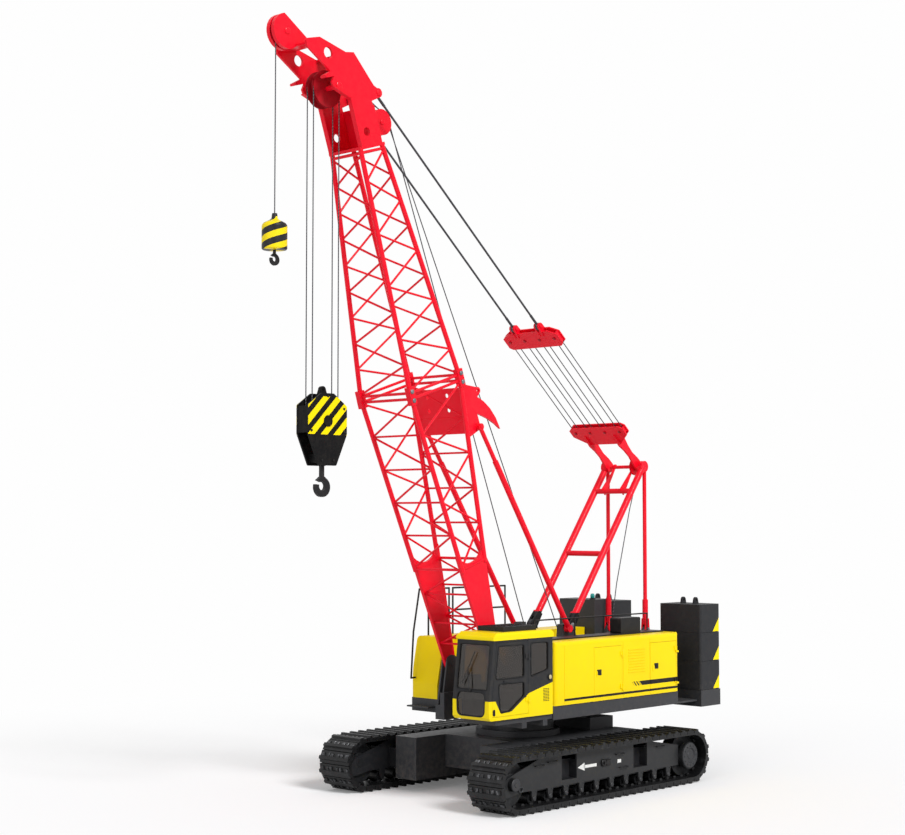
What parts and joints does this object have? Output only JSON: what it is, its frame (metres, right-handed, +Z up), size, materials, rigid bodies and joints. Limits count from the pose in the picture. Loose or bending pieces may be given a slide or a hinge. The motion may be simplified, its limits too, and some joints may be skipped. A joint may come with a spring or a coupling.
{
  "type": "crawler crane",
  "caption": "Crawler crane: tracked carbody, slewing upper works with glazed cab and counterweight, gantry, and a lattice boom with hook block and hook ball.",
  "frame": {"origin": "on the ground under the slewing axis", "axes": "+X forwards along the tracks and the boom, +Y to the operator's left, +Z up"},
  "size_m": [12.089, 5.1, 15.2591],
  "materials": {
    "red_paint": "gloss",
    "yellow_paint": "gloss",
    "grey_paint": "satin",
    "black_paint": "satin",
    "track_steel": "matte",
    "machine_steel": "satin",
    "wire_rope": "satin",
    "cab_glass": "clear",
    "seat_cloth": "matte"
  },
  "bodies": {
    "undercarriage": {"carbody": "grey_paint", "side_frame_left": "grey_paint", "side_frame_right": "grey_paint", "track_left": "track_steel", "track_right": "track_steel", "sprockets": "track_steel", "idlers": "track_steel", "rollers": "track_steel", "slew_ring": "track_steel"},
    "upperworks": {"revolving_frame": "grey_paint", "cab_shell": "yellow_paint", "cab_glass": "cab_glass", "cab_seat": "seat_cloth", "cab_roof_hatch": "black_paint", "left_housing": "yellow_paint", "right_housing": "yellow_paint", "engine_block": "machine_steel", "counterweight_tray": "grey_paint", "counterweight_lower": "grey_paint", "counterweight_middle": "grey_paint", "counterweight_upper": "grey_paint", "gantry_legs": "red_paint", "gantry_links": "red_paint", "gantry_head": "red_paint", "winch_frame": "grey_paint", "rear_tank": "grey_paint", "handrails": "black_paint"},
    "cab_door": {"cab_door": "grey_paint", "cab_door_glass": "cab_glass"},
    "left_door_front": {"left_door_front": "yellow_paint"},
    "left_door_rear": {"left_door_rear": "yellow_paint"},
    "main_drum": {"main_drum": "machine_steel"},
    "auxiliary_drum": {"auxiliary_drum": "machine_steel"},
    "luffing_drum": {"luffing_drum": "machine_steel"},
    "boom": {"boom_butt": "red_paint", "boom_tip": "red_paint", "boom_head": "red_paint", "head_sheaves": "black_paint"},
    "pendants": {"pendants": "wire_rope", "floating_bridle": "red_paint"},
    "lower_bridle": {"lower_bridle": "red_paint"},
    "main_block": {"main_falls": "wire_rope", "main_block": "black_paint"},
    "main_hook": {"main_hook": "black_paint"},
    "auxiliary_ball": {"auxiliary_fall": "wire_rope", "auxiliary_ball": "yellow_paint"},
    "auxiliary_hook": {"auxiliary_hook": "black_paint"},
    "backstop_rods": {"backstop_rods": "red_paint"},
    "backstop_tubes": {"backstop_tubes": "red_paint"}
  },
  "joints": [
    {"name": "slew", "type": "hinge", "parent": "undercarriage", "child": "upperworks", "pos_m": [0, 0, 1.44], "axis": [0, 0, 1], "continuous": true},
    {"name": "cab_door", "type": "hinge", "parent": "upperworks", "child": "cab_door", "pos_m": [1.666, 1.748, 2.127], "axis": [0, 0, 1], "range_deg": [0, 100]},
    {"name": "left_door_front", "type": "hinge", "parent": "upperworks", "child": "left_door_front", "pos_m": [-1.404, 1.748, 2.4], "axis": [0, 0, 1], "range_deg": [0, 110]},
    {"name": "left_door_rear", "type": "hinge", "parent": "upperworks", "child": "left_door_rear", "pos_m": [-3.354, 1.748, 2.4], "axis": [0, 0, 1], "range_deg": [0, 110]},
    {"name": "main_drum", "type": "hinge", "parent": "upperworks", "child": "main_drum", "pos_m": [-0.3, 0, 2.35], "axis": [0, 1, 0], "continuous": true},
    {"name": "auxiliary_drum", "type": "hinge", "parent": "upperworks", "child": "auxiliary_drum", "pos_m": [-1.5, 0, 2.35], "axis": [0, 1, 0], "continuous": true},
    {"name": "luffing_drum", "type": "hinge", "parent": "upperworks", "child": "luffing_drum", "pos_m": [-2.7, 0, 2.35], "axis": [0, 1, 0], "continuous": true},
    {"name": "boom_luff", "type": "hinge", "parent": "upperworks", "child": "boom", "pos_m": [1.443, 0, 2.657], "axis": [0, -1, 0], "range_deg": [-42, 8]},
    {"name": "pendant_swing", "type": "hinge", "parent": "boom", "child": "pendants", "pos_m": [4.63265, 0, 14.05942], "axis": [0, -1, 0], "range_deg": [-1.85, 9.48]},
    {"name": "luffing_rope_pay_out", "type": "slide", "parent": "pendants", "child": "lower_bridle", "axis": [-0.7606, 0, -0.6492], "range_m": [-0.82203, 4.31141]},
    {"name": "main_block_plumb", "type": "hinge", "parent": "boom", "child": "main_block", "pos_m": [5.69568, 0, 13.99792], "axis": [0, -1, 0], "range_deg": [-8.05, 42.05]},
    {"name": "main_hook_swivel", "type": "hinge", "parent": "main_block", "child": "main_hook", "pos_m": [5.69568, 0, 6.76], "axis": [0, 0, 1], "continuous": true},
    {"name": "auxiliary_ball_plumb", "type": "hinge", "parent": "boom", "child": "auxiliary_ball", "pos_m": [6.71702, 0, 14.92782], "axis": [0, -1, 0], "range_deg": [-8.05, 42.05]},
    {"name": "auxiliary_hook_swivel", "type": "hinge", "parent": "auxiliary_ball", "child": "auxiliary_hook", "pos_m": [6.91702, 0, 10.73], "axis": [0, 0, 1], "continuous": true},
    {"name": "backstop_swing", "type": "hinge", "parent": "boom", "child": "backstop_rods", "pos_m": [2.03823, 0, 7.56319], "axis": [0, -1, 0], "range_deg": [-1.79, 9.17]},
    {"name": "backstop_telescope", "type": "slide", "parent": "backstop_rods", "child": "backstop_tubes", "axis": [-0.5555, 0, -0.8315], "range_m": [-0.26761, 1.40069]}
  ],
  "couplings": [
    {"joint": "pendant_swing", "follows": "boom_luff", "ratio": -0.22444},
    {"joint": "luffing_rope_pay_out", "follows": "boom_luff", "m_per_rad": -5.8802},
    {"joint": "main_block_plumb", "follows": "boom_luff", "ratio": -1},
    {"joint": "auxiliary_ball_plumb", "follows": "boom_luff", "ratio": -1},
    {"joint": "backstop_swing", "follows": "boom_luff", "ratio": -0.21709},
    {"joint": "backstop_telescope", "follows": "boom_luff", "m_per_rad": -1.9094}
  ]
}
